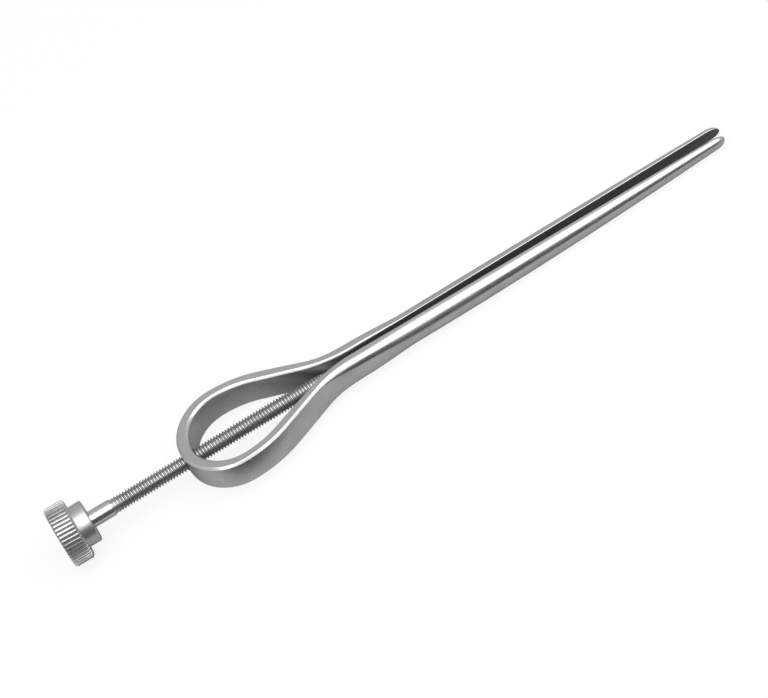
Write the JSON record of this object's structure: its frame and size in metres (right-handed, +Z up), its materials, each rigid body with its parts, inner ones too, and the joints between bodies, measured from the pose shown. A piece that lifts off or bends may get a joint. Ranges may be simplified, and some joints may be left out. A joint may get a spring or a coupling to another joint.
{
  "type": "teat dilator",
  "caption": "Veterinary teat dilator: sprung steel loop running on as half-round prongs, spread by a knurled screw whose tapered nose wedges the arms apart.",
  "frame": {"origin": "centre of the box round the whole instrument at rest, which lies on the screw's axis", "axes": "+X from the knob along the screw to the prong tips, +Y across the loop, +Z up, square to the loop's plane"},
  "size_m": [0.1398, 0.0196, 0.012],
  "materials": {
    "frame_steel": "spring stainless steel, ground and satin polished, bright on its bevelled edges",
    "screw_steel": "turned stainless steel, polished neck and fine cut thread",
    "knob_steel": "turned stainless steel, satin, straight milled knurl"
  },
  "bodies": {
    "frame": {"bow": "frame_steel"},
    "arm_left": {"arm_left": "frame_steel"},
    "arm_right": {"arm_right": "frame_steel"},
    "spindle": {"screw_spindle": "screw_steel"},
    "knob": {"knurled_knob": "knob_steel"}
  },
  "joints": [
    {"name": "screw_advance", "type": "slide", "parent": "frame", "child": "spindle", "axis": [1, 0, 0], "range_m": [-0.00121, 0.00301]},
    {"name": "knob_turn", "type": "hinge", "parent": "spindle", "child": "knob", "pos_m": [-0.0669, 0, 0], "axis": [1, 0, 0], "range_deg": [-720, 1800]},
    {"name": "arm_left_spread", "type": "hinge", "parent": "frame", "child": "arm_left", "pos_m": [-0.03834, 0.00731, 0], "axis": [0, 0, 1], "range_deg": [-0.53, 1.31]},
    {"name": "arm_right_spread", "type": "hinge", "parent": "frame", "child": "arm_right", "pos_m": [-0.03834, -0.00731, 0], "axis": [0, 0, -1], "range_deg": [-0.53, 1.31]}
  ],
  "couplings": [
    {"joint": "screw_advance", "follows": "knob_turn", "m_per_rad": 0.000095493},
    {"joint": "arm_left_spread", "follows": "knob_turn", "ratio": 0.00072222},
    {"joint": "arm_right_spread", "follows": "knob_turn", "ratio": 0.00072222}
  ]
}
